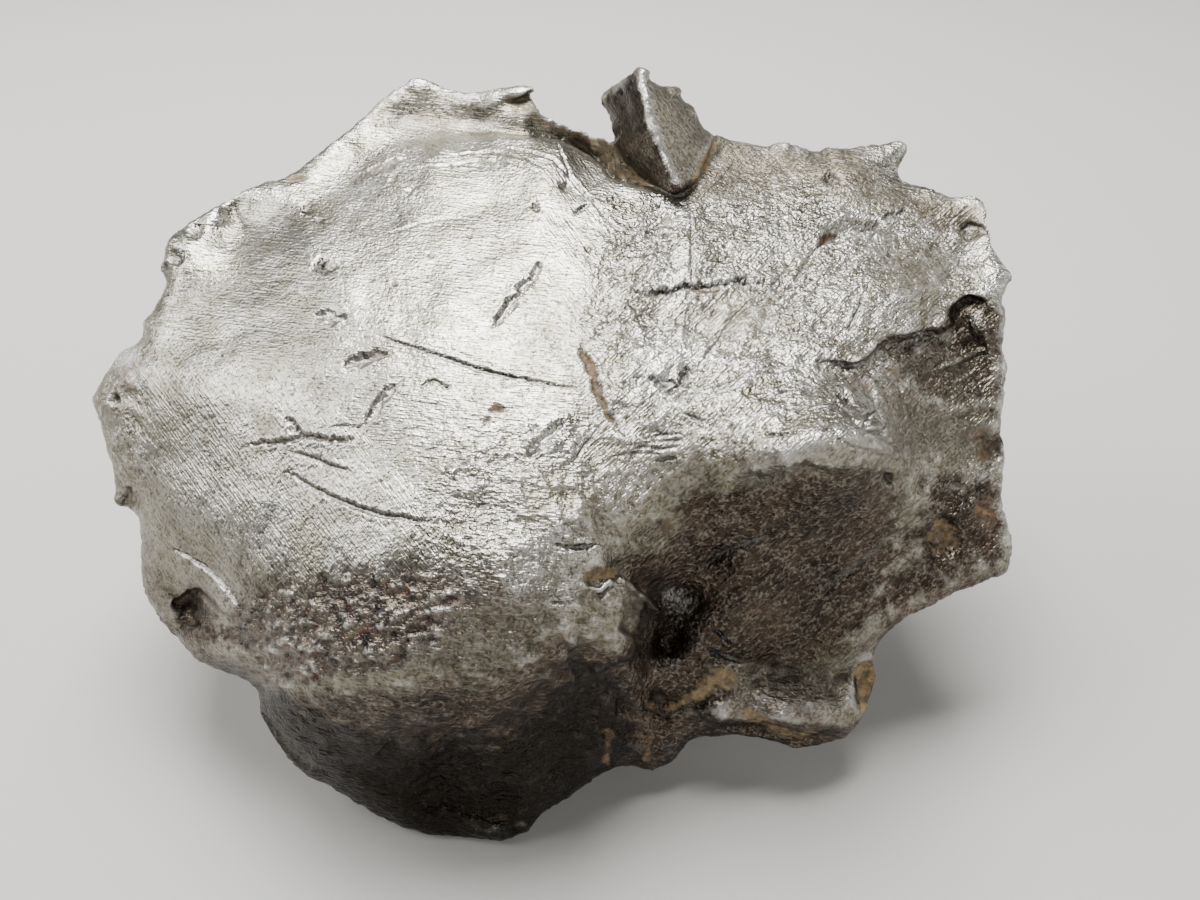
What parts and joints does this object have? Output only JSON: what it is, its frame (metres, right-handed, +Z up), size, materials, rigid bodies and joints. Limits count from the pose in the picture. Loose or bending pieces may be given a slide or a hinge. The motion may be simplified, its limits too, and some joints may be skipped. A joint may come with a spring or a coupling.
{
  "type": "iron meteorite shrapnel",
  "caption": "Torn, thumbprinted lump of wire-brushed nickel-iron with a jagged rim, a standing fin, deep folds and a small flat spot it rests on.",
  "frame": {"origin": "middle of the bounding box in plan, on the ground that the flat spot rests on", "axes": "+X from the rounded end to the torn right rim, along the greatest width, +Y from the dished front to the back, +Z up"},
  "size_m": [0.1584, 0.1162, 0.093],
  "materials": {
    "iron": "wire-brushed nickel-iron, bright on the domes, with dark brown patina in the folds"
  },
  "bodies": {
    "root": {"meteorite": "iron"}
  },
  "joints": []
}
